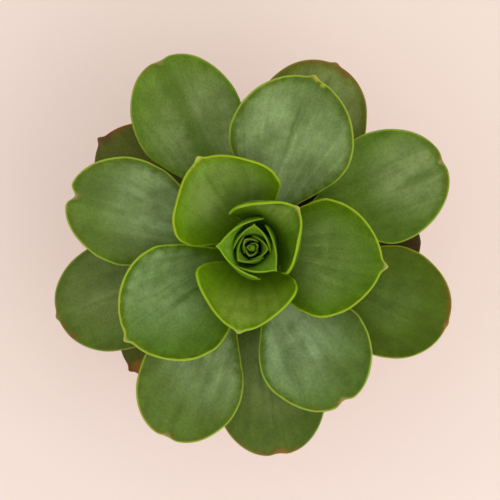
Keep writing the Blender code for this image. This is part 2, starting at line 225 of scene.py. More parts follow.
class Surface:
    """A new material, with short calls that add nodes to it."""

    def __init__(self, name):
        self.material = bpy.data.materials.new(name)
        self.material.use_nodes = True
        self.tree = self.material.node_tree
        self.shader = self.tree.nodes["Principled BSDF"]

    def feed(self, socket, value):
        if isinstance(value, bpy.types.NodeSocket):
            self.tree.links.new(value, socket)
        else:
            socket.default_value = value

    def add(self, kind, inputs, output=0, **settings):
        node = self.tree.nodes.new(kind)
        for name, value in settings.items():
            setattr(node, name, value)
        for key, value in inputs.items():
            self.feed(node.inputs[key], value)
        return node.outputs[output]

    def attribute(self, name, output="Vector"):
        return self.add("ShaderNodeAttribute", {}, output, attribute_name=name)

    def split(self, vector):
        node = self.tree.nodes.new("ShaderNodeSeparateXYZ")
        self.feed(node.inputs[0], vector)
        return node.outputs

    def math(self, operation, first, second=0.0):
        return self.add("ShaderNodeMath", {0: first, 1: second}, operation=operation)

    def times(self, first, second):
        return self.math("MULTIPLY", first, second)

    def ramp(self, value, low, high, start=0.0, end=1.0):
        """start below low and end above high, with a smooth step between them."""
        inputs = {0: value, 1: low, 2: high, 3: start, 4: end}
        return self.add("ShaderNodeMapRange", inputs, interpolation_type="SMOOTHSTEP")

    def stretch(self, vector, x, y, z):
        inputs = {0: vector, 1: (x, y, z)}
        return self.add("ShaderNodeVectorMath", inputs, operation="MULTIPLY")

    def noise(self, vector, scale, detail=3.0, roughness=0.55, distortion=0.0):
        inputs = {
            "Vector": vector,
            "Scale": scale,
            "Detail": detail,
            "Roughness": roughness,
            "Distortion": distortion,
        }
        return self.add("ShaderNodeTexNoise", inputs, "Fac")

    def distance(self, vector, place):
        inputs = {0: vector, 1: place}
        return self.add("ShaderNodeVectorMath", inputs, "Value", operation="DISTANCE")

    def cells(self, vector, scale):
        return self.add("ShaderNodeTexVoronoi", {"Vector": vector, "Scale": scale}, "Distance")

    def mix(self, share, first, second, blend="MIX"):
        inputs = {0: share, 6: first, 7: second}
        return self.add("ShaderNodeMix", inputs, 2, data_type="RGBA", blend_type=blend)

    def bump(self, height, strength, distance, normal=None):
        inputs = {"Height": height, "Strength": strength, "Distance": distance}
        if normal is not None:
            inputs["Normal"] = normal
        return self.add("ShaderNodeBump", inputs)

    def finish(self, colour, roughness, normal, fixed=()):
        """Feeds the shader. fixed holds the numbers that are the same all over."""
        self.feed(self.shader.inputs["Base Color"], colour)
        self.feed(self.shader.inputs["Roughness"], roughness)
        self.feed(self.shader.inputs["Normal"], normal)
        for name, value in dict(fixed).items():
            self.shader.inputs[name].default_value = value
        return self.material


# deep: colour of the base and of the band inside the margin
# bloom: colour of the waxy bloom over the middle of the blade, cover: how much of it there is
# rim: colour of the margin, its own yellow-green with a painted glow of light shining through the thin
# edge, rim_width: how far it reaches in, in millimetres
# tip: colour of the point, blush: how much of the margin near it is browned, from 0 to 1
# dull: how much of the whole blade is browned with age
# Colours are screen values from 0 to 255.
Look = namedtuple("Look", "deep bloom cover rim rim_width tip blush dull")
LOOKS = {
    # The bud, core and heart colours are lifted above the leaves' own green: painted light that offsets
    # the shade deep in the cupped middle of the rosette.
    "bud": Look((112, 152, 22), (128, 164, 52), 0.5, (112, 148, 30), 0.3, (130, 156, 50), 0.0, 0.0),
    "core": Look((110, 150, 18), (130, 164, 60), 0.6, (116, 150, 30), 0.35, (140, 156, 60), 0.0, 0.0),
    "heart": Look((104, 146, 14), (132, 160, 74), 0.7, (130, 164, 32), 0.45, (160, 160, 80), 0.05, 0.0),
    # young: its deep green is darkened with painted shade, for the shaded inside of leaf 8's cup.
    "young": Look((78, 114, 0), (118, 140, 58), 0.75, (140, 170, 26), 0.6, (170, 158, 84), 0.1, 0.0),
    "warm": Look((98, 134, 6), (118, 138, 48), 0.9, (138, 168, 26), 0.6, (160, 158, 88), 0.15, 0.0),
    "bright": Look((98, 134, 2), (120, 142, 70), 0.95, (144, 168, 24), 0.65, (160, 150, 80), 0.2, 0.0),
    "green": Look((80, 112, 0), (118, 142, 72), 0.9, (140, 164, 28), 0.6, (174, 160, 92), 0.15, 0.0),
    "mild": Look((76, 108, 0), (128, 152, 96), 1.0, (146, 168, 42), 0.65, (160, 156, 90), 0.15, 0.0),
    "frosted": Look((80, 106, 28), (131, 153, 104), 1.0, (138, 160, 46), 0.5, (150, 140, 80), 0.2, 0.02),
    "grey": Look((84, 108, 26), (131, 153, 99), 1.0, (136, 158, 42), 0.5, (150, 140, 80), 0.3, 0.02),
    "broad": Look((82, 112, 18), (126, 144, 86), 0.95, (128, 150, 40), 0.45, (140, 126, 70), 0.2, 0.04),
    "streaked": Look((92, 122, 22), (130, 148, 90), 0.95, (126, 146, 42), 0.45, (140, 126, 70), 0.2, 0.03),
    "leafy": Look((74, 96, 4), (100, 126, 54), 0.7, (134, 146, 30), 0.4, (150, 100, 50), 0.7, 0.03),
    "lower": Look((82, 104, 26), (120, 136, 76), 0.9, (118, 132, 42), 0.45, (140, 104, 62), 0.6, 0.05),
    "olive": Look((100, 110, 28), (123, 138, 78), 0.9, (126, 122, 40), 0.5, (150, 100, 50), 0.55, 0.05),
    "old": Look((92, 100, 30), (112, 112, 50), 0.6, (104, 74, 30), 0.6, (120, 70, 32), 0.8, 0.2),
    # shaded: an old leaf's own brown, darkened further with painted shade where it lies under the others.
    "shaded": Look((66, 54, 14), (76, 62, 20), 0.6, (80, 56, 24), 0.6, (84, 54, 26), 0.4, 0.2),
}

# For each leaf: its look, and where its bloom is thickest. That place is a share of the length,
# a share of the half-width (counter-clockwise side positive), and a size against the half-width.
Skin = namedtuple("Skin", "look share side size")
SKINS = [
    Skin("core", 0.80, 0.0, 0.9),
    Skin("core", 0.80, 0.0, 0.9),
    Skin("core", 0.85, 0.0, 0.8),
    Skin("core", 0.85, 0.0, 0.8),
    Skin("heart", 0.90, 0.0, 0.7),
    Skin("heart", 0.98, 0.0, 0.6),
    Skin("heart", 0.98, 0.0, 0.6),
    # Leaf 8's bloom is kept to its counter-clockwise side, leaving painted shade in the deep green of its
    # other side.
    Skin("young", 0.88, 0.3, 0.65),
    Skin("warm", 0.78, 0.15, 0.8),
    Skin("bright", 0.62, -0.1, 0.82),
    Skin("green", 0.55, 0.0, 0.80),
    # Leaf 12's bloom is kept to its clockwise side, leaving painted shade in the deep green where leaf 9
    # shadows it.
    Skin("mild", 0.60, -0.48, 1.05),
    Skin("grey", 0.58, 0.0, 1.34),
    Skin("frosted", 0.46, -0.34, 1.32),
    Skin("grey", 0.54, -0.35, 1.10),
    Skin("broad", 0.84, 0.0, 0.88),
    Skin("grey", 0.54, 0.2, 1.10),
    Skin("streaked", 0.54, -0.4, 1.40),
    Skin("leafy", 0.70, 0.0, 0.60),
    Skin("lower", 0.65, -0.3, 1.10),
    Skin("olive", 0.80, -0.2, 1.00),
    Skin("lower", 0.56, 0.1, 1.00),
    Skin("old", 0.70, 0.0, 0.8),
    Skin("shaded", 0.70, 0.0, 0.6),
    Skin("old", 0.70, 0.0, 0.8),
]

# Creases along the midrib, by the leaf's number: from and to as shares of the length, millimetres
# off the midrib, half-width in millimetres, and how much painted shade darkens the fold, with less
# bloom. Below zero it is a raised rib lightened with painted light, with more bloom.
Crease = namedtuple("Crease", "start end off width dark")
CREASES = {
    10: Crease(0.45, 0.95, 0.5, 1.0, 0.10),
    12: Crease(0.20, 0.70, 0.0, 1.6, 0.10),
    13: Crease(0.48, 0.92, 1.0, 1.3, 0.11),
    14: Crease(0.02, 0.80, 0.5, 3.0, -0.14),
    15: Crease(0.55, 1.15, 1.0, 2.4, 0.10),
    16: Crease(0.66, 1.15, -2.0, 3.0, 0.14),
    17: Crease(0.72, 1.15, 0.0, 2.4, 0.14),
    18: Crease(0.25, 1.15, 0.5, 5.5, 0.22),
    21: Crease(0.40, 1.00, 0.0, 2.0, 0.14),
}
# A crease that most other leaves have faintly.
FAINT_CREASE = Crease(0.25, 0.95, 0.0, 1.0, 0.05)

# Spots of dying or sunburnt tissue, and one pale patch of painted light that lifts leaf 14's foot where
# the leaves above shade it: the leaf's number, share of the length, share of the half-width, size in
# millimetres, and colour.
Spot = namedtuple("Spot", "leaf share side size colour")
SPOTS = [
    Spot(8, 0.995, 0.0, 0.9, (172, 150, 88)),
    Spot(10, 1.0, 0.02, 1.3, (172, 176, 62)),
    Spot(10, 0.985, 0.16, 0.9, (142, 112, 46)),
    Spot(11, 1.02, 0.0, 1.1, (186, 160, 92)),
    Spot(13, 1.0, -0.05, 1.4, (168, 166, 40)),
    Spot(13, 0.985, -0.16, 1.2, (176, 178, 32)),
    Spot(14, 0.995, -0.08, 1.2, (146, 120, 60)),
    # A pale patch of painted light on leaf 14's foot.
    Spot(14, 0.34, -0.04, 8.0, (152, 172, 124)),
    Spot(15, 0.965, 0.0, 1.2, (124, 92, 50)),
    Spot(16, 0.99, 0.0, 1.0, (150, 136, 84)),
    Spot(17, 0.985, 0.0, 1.1, (110, 88, 44)),
    Spot(19, 1.0, -0.05, 1.3, (160, 110, 52)),
    Spot(19, 1.0, -0.16, 1.5, (160, 74, 26)),
    Spot(20, 0.995, 0.15, 1.8, (118, 82, 40)),
    Spot(20, 0.975, 0.44, 2.2, (128, 74, 34)),
    Spot(21, 1.0, -0.3, 2.4, (142, 84, 44)),
    Spot(22, 0.995, 0.10, 2.6, (150, 104, 30)),
    Spot(22, 0.985, -0.36, 2.4, (128, 96, 32)),
    Spot(23, 0.985, -0.1, 4.0, (92, 62, 30)),
    Spot(25, 0.94, 0.1, 4.5, (170, 104, 36)),
]

BLUSH = (134, 72, 26)
FLECK = (184, 196, 164)
AGED = (78, 54, 22)
UNDERSIDE = (132, 150, 104)

# Veins run together this many millimetres before the leaf's foot.
VEIN_ORIGIN = 15.0
# How far the edges of coloured patches wander, in millimetres.
WANDER = 5.0
# How much bloom a crease takes away, against how much painted shade darkens it.
CREASE_BLOOM_LOSS = 3.2


def leaf_material(name, look, seed, heart, size, crease, spots):
    """Waxy leaf. Its colours follow the blade, whose places are in the mesh's attributes.

    place: millimetres along and across the blade, and a number of the leaf's own
    edge: millimetres to the margin and to the tip, and the share of the length
    side: 1 on the underside
    heart and size say where the bloom is thickest and how far it spreads, in millimetres.
    crease is a Crease, and spots are (place, size, colour), in millimetres too.
    """
    leaf = Surface(name)
    place = leaf.attribute("place")
    to_margin, to_tip, along = leaf.split(leaf.attribute("edge"))
    underside = leaf.attribute("side", "Fac")

    offset = (13.7 * seed, 7.9 * seed, 3.1 * seed)
    shift = leaf.add("ShaderNodeVectorMath", {0: place, 1: offset}, operation="ADD")
    clouds = leaf.noise(shift, 0.055, 2.0)
    blotches = leaf.noise(shift, 0.22, 3.0, 0.6)
    run, across = leaf.split(place)[:2]
    bearing = leaf.math("DIVIDE", across, leaf.math("ADD", run, VEIN_ORIGIN))
    fan = {0: leaf.times(run, 0.022), 1: leaf.times(bearing, 13.0), 2: 3.7 * seed}
    veins = leaf.noise(leaf.add("ShaderNodeCombineXYZ", fan), 1.0, 3.0, 0.5, 0.5)
    fibres = leaf.noise(leaf.stretch(shift, 0.2, 1.6, 1.0), 1.0, 3.0, 0.6)
    grain = leaf.noise(shift, 1.0, 4.0, 0.75)
    pores = leaf.cells(shift, 2.4)

    # How much bloom covers the blade: less at the margin, away from its heart and in a crease.
    wander = leaf.times(leaf.math("SUBTRACT", blotches, 0.5), WANDER)
    inset = leaf.math("ADD", to_margin, wander)
    away = leaf.math("ADD", leaf.distance(place, heart), leaf.times(wander, 1.6))
    cover = leaf.times(leaf.ramp(inset, 0.5, 4.6), leaf.ramp(away, 0.35 * size, 1.15 * size, 1.0, 0.12))
    cover = leaf.times(cover, leaf.ramp(clouds, 0.3, 0.64, 0.62, 1.0))
    cover = leaf.times(cover, leaf.ramp(veins, 0.32, 0.66, 0.76, 1.0))
    cover = leaf.times(cover, look.cover)
    # A crease: painted shade darkens the fold and takes bloom from it; below zero, painted light lightens
    # a raised rib and adds bloom.
    off_crease = leaf.math("SUBTRACT", leaf.math("ADD", across, leaf.times(wander, 0.5)), crease.off)
    off_crease = leaf.math("ABSOLUTE", off_crease)
    folded = leaf.ramp(off_crease, 0.15 * crease.width, crease.width, 1.0, 0.0)
    folded = leaf.times(folded, leaf.ramp(along, crease.start, crease.start + 0.2))
    folded = leaf.times(folded, leaf.ramp(along, crease.end - 0.15, crease.end, 1.0, 0.0))
    bloom_taken_by_crease = leaf.times(folded, CREASE_BLOOM_LOSS * crease.dark)
    cover = leaf.times(cover, leaf.math("SUBTRACT", 1.0, bloom_taken_by_crease))
    colour = leaf.mix(cover, linear(*look.deep), linear(*look.bloom))

    # Lighter and darker places, from the coarse to the fine, and last the painted shade of a crease.
    shade = leaf.ramp(veins, 0.34, 0.66, 0.93, 1.05)
    shade = leaf.times(shade, leaf.ramp(fibres, 0.3, 0.7, 0.97, 1.03))
    shade = leaf.times(shade, leaf.ramp(blotches, 0.36, 0.64, 0.94, 1.06))
    shade = leaf.times(shade, leaf.ramp(clouds, 0.34, 0.66, 0.93, 1.07))
    shade = leaf.times(shade, leaf.ramp(grain, 0.36, 0.64, 0.88, 1.12))
    shade = leaf.times(shade, leaf.ramp(pores, 0.0, 0.45, 0.95, 1.03))
    shade = leaf.times(shade, leaf.math("SUBTRACT", 1.0, leaf.times(folded, crease.dark)))
    colour = leaf.mix(1.0, colour, shade, "MULTIPLY")
    flecks = leaf.ramp(leaf.cells(shift, 0.33), 0.05, 0.11, 0.3, 0.0)
    colour = leaf.mix(leaf.times(flecks, cover), colour, linear(*FLECK))

    # Browning with age, the margin with its painted glow, the point and the spots, one of them a patch of
    # painted light.
    aged = leaf.ramp(blotches, 0.5 - 0.35 * look.dull, 0.75 - 0.3 * look.dull, 0.0, look.dull)
    colour = leaf.mix(aged, colour, linear(*AGED))
    near_tip = leaf.ramp(to_tip, 4.0, 26.0, 1.0, 0.12)
    near_margin = leaf.ramp(inset, 0.4, 2.6, 1.0, 0.0)
    blush = leaf.times(leaf.times(near_tip, near_margin), leaf.ramp(clouds, 0.4, 0.62))
    blush = leaf.times(blush, look.blush)

    # The margin: its own yellow-green, with a painted glow of light shining through the thin edge.
    uneven = leaf.times(look.rim_width, leaf.ramp(blotches, 0.3, 0.7, 0.75, 1.3))
    rim = leaf.math("DIVIDE", to_margin, uneven)
    rim = leaf.ramp(rim, 0.4, 1.3, 0.95, 0.0)
    colour = leaf.mix(rim, colour, linear(*look.rim))
    colour = leaf.mix(blush, colour, linear(*BLUSH))
    colour = leaf.mix(leaf.ramp(to_tip, 0.6, 2.2, 0.7, 0.0), colour, linear(*look.tip))
    for spot_place, spot_size, spot_colour in spots:
        spread = leaf.math("ADD", leaf.distance(place, spot_place), leaf.times(wander, 0.9))
        spread = leaf.ramp(spread, 0.25 * spot_size, spot_size, 0.7, 0.0)
        colour = leaf.mix(spread, colour, linear(*spot_colour))
    pale = leaf.times(underside, leaf.ramp(to_margin, 0.8, 5.0, 0.0, 0.55))
    colour = leaf.mix(pale, colour, linear(*UNDERSIDE))

    roughness = leaf.ramp(grain, 0.2, 0.8, 0.44, 0.6)
    roughness = leaf.math("ADD", roughness, leaf.times(cover, 0.1))
    roughness = leaf.math("SUBTRACT", roughness, leaf.times(rim, 0.12))
    normal = leaf.bump(veins, 0.3, 0.0006)
    normal = leaf.bump(leaf.times(folded, -crease.dark), 1.0, 0.0008, normal)
    normal = leaf.bump(fibres, 0.15, 0.00015, normal)
    normal = leaf.bump(grain, 0.3, 0.00012, normal)
    wax = {
        "Specular IOR Level": 0.14,
        "Subsurface Weight": 0.3,
        "Subsurface Radius": (0.6, 1.0, 0.15),
        "Subsurface Scale": 0.002,
    }
    return leaf.finish(colour, roughness, normal, wax)


def clay_material():
    """Fired clay: turning lines, pale lime bloom, darker damp near the foot."""
    clay = Surface("clay_fine")
    place = clay.add("ShaderNodeTexCoord", {}, "Object")
    height = clay.split(place)[2]
    grain = clay.noise(place, 900.0, 3.0, 0.7)
    clouds = clay.noise(place, 28.0, 4.0, 0.6)
    lines = clay.noise(clay.stretch(place, 6.0, 6.0, 420.0), 1.0, 3.0, 0.6)
    pits = clay.cells(place, 420.0)
    base = clay.mix(clay.ramp(clouds, 0.3, 0.7), linear(176, 98, 66), linear(200, 122, 86))
    base = clay.mix(clay.ramp(grain, 0.55, 0.8, 0.0, 0.5), base, linear(222, 160, 124))
    base = clay.mix(clay.ramp(lines, 0.45, 0.7, 0.0, 0.3), base, linear(158, 84, 54))
    damp = clay.times(clay.ramp(height, 0.004, 0.03, 0.55, 0.0), clay.ramp(clouds, 0.35, 0.6))
    base = clay.mix(damp, base, linear(132, 72, 48))
    lime = clay.times(clay.ramp(clouds, 0.52, 0.72), clay.ramp(height, 0.03, 0.07, 0.2, 0.7))
    base = clay.mix(lime, base, linear(226, 204, 186))
    roughness = clay.ramp(clouds, 0.2, 0.8, 0.78, 0.95)
    normal = clay.bump(lines, 0.5, 0.0004)
    normal = clay.bump(grain, 0.5, 0.0002, normal)
    normal = clay.bump(clay.ramp(pits, 0.0, 0.25), 0.3, 0.0002, normal)
    return clay.finish(base, roughness, normal, {"Specular IOR Level": 0.25})


def earth_material(name, dark, light):
    """Potting mix: dark crumbs with paler specks."""
    earth = Surface(name)
    place = earth.add("ShaderNodeTexCoord", {}, "Object")
    crumbs = earth.noise(place, 380.0, 5.0, 0.7)
    clods = earth.cells(place, 260.0)
    base = earth.mix(earth.ramp(crumbs, 0.3, 0.7), linear(*dark), linear(*light))
    base = earth.mix(earth.ramp(clods, 0.1, 0.5, 0.5, 0.0), base, linear(*dark))
    roughness = earth.ramp(crumbs, 0.3, 0.7, 0.85, 1.0)
    normal = earth.bump(crumbs, 0.8, 0.0008)
    normal = earth.bump(clods, 0.6, 0.0006, normal)
    return earth.finish(base, roughness, normal, {"Specular IOR Level": 0.2})


def bark_material():
    """Woody stem: brown with greener patches and pale leaf scars."""
    bark = Surface("bark_fine")
    place = bark.add("ShaderNodeTexCoord", {}, "Object")
    patches = bark.noise(place, 160.0, 4.0, 0.6)
    cracks = bark.noise(bark.stretch(place, 700.0, 700.0, 160.0), 1.0, 4.0, 0.7)
    scar = bark.attribute("scar", "Fac")
    base = bark.mix(bark.ramp(patches, 0.35, 0.65), linear(104, 84, 48), linear(122, 118, 62))
    base = bark.mix(bark.ramp(cracks, 0.55, 0.75, 0.0, 0.6), base, linear(66, 50, 30))
    base = bark.mix(bark.ramp(scar, 0.4, 0.9, 0.0, 0.7), base, linear(168, 146, 104))
    normal = bark.bump(cracks, 0.7, 0.0005)
    roughness = bark.ramp(patches, 0.2, 0.8, 0.7, 0.9)
    return bark.finish(base, roughness, normal, {"Specular IOR Level": 0.3})


def table_material():
    """Pale matt table top, with faint unevenness of tone."""
    table = Surface("table_top")
    place = table.add("ShaderNodeTexCoord", {}, "Object")
    tone = table.noise(place, 2.5, 3.0, 0.5)
    grain = table.noise(place, 700.0, 2.0, 0.6)
    base = table.mix(table.ramp(tone, 0.3, 0.7), linear(237, 218, 207), linear(241, 222, 214))
    normal = table.bump(grain, 0.1, 0.0002)
    return table.finish(base, table.ramp(grain, 0.2, 0.8, 0.8, 0.9), normal)


# ---------------------------------------------------------------- blades


def stem_radius(order):
    """The stem's radius where the leaf of that order starts."""
    share = order / (len(LEAVES) - 1)
    return STEM_TOP_RADIUS + (STEM_FOOT_RADIUS - STEM_TOP_RADIUS) * share**0.6


def foot_height(order):
    return CROWN_HEIGHT - LEAF_PITCH * order


def half_width(leaf, along):
    """Half the blade's width at shares of its length."""
    full = 0.5 * leaf.width
    swell = np.sin(0.5 * np.pi * np.clip(along / leaf.widest, 0.0, 1.0)) ** leaf.flare
    growing = full * (FOOT_WIDTH + (1.0 - FOOT_WIDTH) * swell)
    beyond = np.clip((along - leaf.widest) / (1.0 - leaf.widest), 0.0, 1.0)
    rounding = full * (1.0 - beyond**TIP_POWER) ** leaf.roundness
    return np.where(along < leaf.widest, growing, rounding)


class Blade:
    """One leaf's surface, as a function of place: share of the length, and millimetres across."""

    def __init__(self, leaf, foot, rim, seed):
        self.leaf = leaf
        self.rim = rim
        tip = foot + np.array([leaf.reach - foot[0], leaf.rise])
        self.length = float(np.linalg.norm(tip - foot))
        handle = RIB_TENSION * self.length
        leaving = math.radians(leaf.foot_slope)
        arriving = math.radians(leaf.tip_slope)
        first = foot + handle * np.array([math.cos(leaving), math.sin(leaving)])
        second = tip - handle * np.array([math.cos(arriving), math.sin(arriving)])
        self.controls = (foot, first, second, tip)
        draw = random.Random(seed)
        self.ripples = []
        for turns in RIPPLE_TURNS:
            one_side = draw.uniform(0.0, 2.0 * math.pi)
            other_side = draw.uniform(0.0, 2.0 * math.pi)
            self.ripples.append((turns, one_side, other_side))
        self.waves = []
        for _ in range(WAVE_COUNT):
            bearing = draw.uniform(0.0, math.pi)
            wavelength = draw.uniform(*WAVE_LENGTHS)
            phase = draw.uniform(0.0, 2.0 * math.pi)
            self.waves.append((bearing, wavelength, phase))

    def rib(self, t):
        """The midrib's places, as distance from the axis and height, and its climb there."""
        a, b, c, d = self.controls
        t = t[..., None]
        s = 1.0 - t
        place = s**3 * a + 3.0 * s * s * t * b + 3.0 * s * t * t * c + t**3 * d
        slope = s * s * (b - a) + 2.0 * s * t * (c - b) + t * t * (d - c)
        return place, np.arctan2(slope[..., 1], slope[..., 0])

    def stretched(self, along, side):
        """The share of the length with the tip's point or notch added."""
        leaf = self.leaf
        fade = np.clip((along - POINT_START) / (1.0 - POINT_START), 0.0, 1.0) ** 2
        point = leaf.point * np.exp(-((side / (POINT_WIDTH * leaf.width)) ** 2))
        notch = leaf.notch * np.exp(-((side / (NOTCH_WIDTH * leaf.width)) ** 2))
        return along + fade * (point - notch) / self.length

    def unevenness(self, along, side):
        """Gentle waves of the whole blade, strongest at the margin."""
        total = np.zeros_like(side)
        for bearing, wavelength, phase in self.waves:
            way = along * self.length * math.cos(bearing) + side * math.sin(bearing)
            total += np.sin(2.0 * np.pi * way / wavelength + phase)
        outward = np.clip(np.abs(side) / (0.5 * self.leaf.width), 0.0, 1.0)
        size = min(1.0, self.leaf.width / FULL_LEAF_WIDTH)
        strength = WAVE_HEIGHT * size * (WAVE_AT_MIDRIB + (1.0 - WAVE_AT_MIDRIB) * outward**2)
        return strength * total * np.clip(4.0 * along, 0.0, 1.0)

    def rippled(self, along, side):
        """Millimetres across, with a grown margin's small ripples, not alike on its two sides."""
        total = np.zeros_like(side)
        for turns, one, other in self.ripples:
            phase = np.where(side < 0.0, one, other)
            total += np.sin(2.0 * np.pi * turns * along + phase) / turns
        return side * (1.0 + RIPPLE * self.leaf.curl * total)

    def points(self, along, side, to_margin):
        """The upper and the lower surface's points, in millimetres."""
        leaf = self.leaf
        # The trough is an arc across the midrib. Towards the tip it narrows less than the outline.
        bend = leaf.curl * (0.5 + 0.5 * np.clip(2.0 * along, 0.0, 1.0))
        here = np.maximum(half_width(leaf, along), 1e-6)
        beyond = np.clip((along - leaf.widest) / (1.0 - leaf.widest), 0.0, 1.0)
        open_width = 0.5 * leaf.width * (1.0 - TIP_CLOSING * (1.0 + leaf.curl) * beyond**2)
        reference = np.where(along < leaf.widest, here, np.maximum(here, open_width))
        radius = reference / bend
        angle = self.rippled(along, side) / radius
        place, slope = self.rib(self.stretched(along, side))
        azimuth = math.radians(leaf.azimuth)
        outward = np.array([math.cos(azimuth), math.sin(azimuth), 0.0])
        sideways = np.array([-math.sin(azimuth), math.cos(azimuth), 0.0])
        upward = np.array([0.0, 0.0, 1.0])
        rib_normal = upward * np.cos(slope)[..., None] - outward * np.sin(slope)[..., None]
        normal = rib_normal * np.cos(angle)[..., None] - sideways * np.sin(angle)[..., None]
        middle = outward * place[..., :1] + upward * place[..., 1:]
        middle = middle + sideways * (radius * np.sin(angle))[..., None]
        middle = middle + rib_normal * (radius * (1.0 - np.cos(angle)))[..., None]
        middle = middle + normal * self.unevenness(along, side)[..., None]
        middle = middle + np.array([0.0, STEM_Y, 0.0])

        # The margin is half-round, and the blade thickens from there to the midrib.
        bead = 0.5 * self.rim
        inset = np.minimum(to_margin, bead)
        rounding = bead - np.sqrt(bead**2 - (bead - inset) ** 2)
        size = min(1.0, leaf.width / FULL_LEAF_WIDTH)
        reach = half_width(leaf, np.minimum(along, leaf.widest))
        depth = 1.0 - np.clip(to_margin / reach, 0.0, 1.0)
        body = (1.0 - depth**2) ** BODY_ROUNDING * (1.0 - BODY_TAPER * along)
        body = LEAF_THICKNESS * size * body
        upper = middle - normal * rounding[..., None]
        lower = middle - normal * (body + self.rim - rounding)[..., None]
        return upper, lower


def resample(points, steps):
    """Places along a dense line of points, at the given shares of its length."""
    gaps = np.linalg.norm(np.diff(points, axis=0), axis=1)
    run = np.concatenate([[0.0], np.cumsum(gaps)])
    return np.stack([np.interp(steps * run[-1], run, points[:, axis]) for axis in (0, 1)], axis=1)


def blade_grid(blade, rows, columns):
    """Shares along and millimetres across, for one half of the blade.

    Each row runs from the margin to the midrib, and the last one from the tip to the midrib's end.
    """
    leaf = blade.leaf
    turn = np.linspace(0.0, 1.0, OUTLINE_STEPS)
    along = np.where(turn < 0.5, turn * 2.0 * leaf.widest, 0.0)
    late = leaf.widest + (1.0 - leaf.widest) * np.sin(np.pi * (turn - 0.5))
    along = np.where(turn < 0.5, along, late)
    margin = np.stack([along * blade.length, half_width(leaf, along)], axis=1)
    margin_length = float(np.linalg.norm(np.diff(margin, axis=0), axis=1).sum())
    steps = 1.0 - (1.0 - np.linspace(0.0, 1.0, rows + 1)) ** TIP_CROWDING
    outer = resample(margin, steps)
    power = margin_length / (SPINE_END * blade.length)
    inner_along = SPINE_END * (1.0 - (1.0 - steps) ** power)
    inner = np.stack([inner_along * blade.length, np.zeros(rows + 1)], axis=1)
    span = np.linalg.norm(outer - inner, axis=1)

    near = np.array(RIM_COLUMNS) * blade.rim
    shrink = np.minimum(1.0, span / NARROW_SPAN)[:, None]
    near = near[None, :] * shrink
    far = np.linspace(0.0, 1.0, columns + 2 - len(RIM_COLUMNS))[1:] ** COLUMN_CROWDING
    first = near[:, -1:]
    rest = first + (span[:, None] - first) * far[None, :]
    shares = np.concatenate([near, rest], axis=1) / span[:, None]
    grid = outer[:, None, :] + (inner - outer)[:, None, :] * shares[:, :, None]
    return grid[..., 0] / blade.length, grid[..., 1], margin


def margin_distance(blade, along, side, margin):
    """Millimetres from each place to the nearest point of the leaf's outline."""
    flat = np.stack([blade.stretched(along, side) * blade.length, np.abs(side)], axis=-1)
    line_along = margin[:, 0] / blade.length
    line = np.stack([blade.stretched(line_along, margin[:, 1]) * blade.length, margin[:, 1]], axis=1)
    a = line[:-1]
    step = line[1:] - a
    squared = np.maximum((step**2).sum(axis=1), 1e-12)
    places = flat.reshape(-1, 1, 2)
    share = np.clip(((places - a) * step).sum(axis=2) / squared, 0.0, 1.0)
    gap = places - a - share[..., None] * step
    return np.sqrt((gap**2).sum(axis=2)).min(axis=1).reshape(along.shape)


def blade_mesh(leaf, foot, rim, seed, rows=BLADE_ROWS, columns=HALF_COLUMNS):
    """Points, faces and attributes of one leaf, with a rounded margin all round."""
    blade = Blade(leaf, foot, rim, seed)
    along, side, margin = blade_grid(blade, rows, columns)
    to_margin = margin_distance(blade, along, side, margin)
    to_margin[:, 0] = 0.0
    places = {}
    points = []
    facts = {"place": [], "edge": [], "side": []}
    tip_along = blade.stretched(np.array([1.0]), np.array([0.0]))[0]
    index = np.zeros((2, 2, rows + 1, columns + 1), int)
    for half, sign in ((0, -1.0), (1, 1.0)):
        surfaces = blade.points(along, sign * side, to_margin)
        stretched = blade.stretched(along, side)
        to_tip = np.hypot((tip_along - stretched) * blade.length, side)
        for face in (0, 1):
            for row in range(rows + 1):
                for column in range(columns + 1):
                    shared = column == columns or row == rows
                    key = (0 if column == 0 else face, 2 if shared else half, row, column)
                    if key not in places:
                        places[key] = len(points)
                        points.append(surfaces[face][row, column])
                        run = along[row, column] * blade.length
                        facts["place"].append((run, sign * side[row, column], float(seed)))
                        edge = (to_margin[row, column], to_tip[row, column], along[row, column])
                        facts["edge"].append(edge)
                        facts["side"].append(float(face))
                    index[half, face, row, column] = places[key]
    faces = []
    for half in (0, 1):
        for face in (0, 1):
            grid = index[half, face]
            for row in range(rows):
                for column in range(columns):
                    quad = [
                        grid[row, column],
                        grid[row + 1, column],
                        grid[row + 1, column + 1],
                        grid[row, column + 1],
                    ]
                    if (half + face) % 2:
                        quad.reverse()
                    faces.append(quad)
    for half in (0, 1):
        upper = index[half, 0, 0]
        lower = index[half, 1, 0]
        for column in range(columns):
            quad = [upper[column], upper[column + 1], lower[column + 1], lower[column]]
            if half:
                quad.reverse()
            faces.append(quad)
    return points, faces, facts


# ---------------------------------------------------------------- pieces


def make_piece(name, points, faces, facts, material, node):
    """A smooth mesh in place of a CAD node, from points in millimetres."""
    mesh = bpy.data.meshes.new(name)
    faces = [list(dict.fromkeys(int(corner) for corner in face)) for face in faces]
    faces = [face for face in faces if len(face) > 2]
    mesh.from_pydata([Vector(point) * MM for point in points], [], faces)
    for fact, values in facts.items():
        is_vector = isinstance(values[0], tuple)
        kind = "FLOAT_VECTOR" if is_vector else "FLOAT"
        layer = mesh.attributes.new(fact, kind, "POINT")
        layer.data.foreach_set("vector" if is_vector else "value", np.array(values, np.float32).ravel())
    mesh.validate()
    mesh.shade_smooth()
    mesh.materials.append(material)
    piece = bpy.data.objects.new(name, mesh)
    bpy.context.scene.collection.objects.link(piece)
    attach(piece, "root")
    if node:
        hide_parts(node)
    return piece


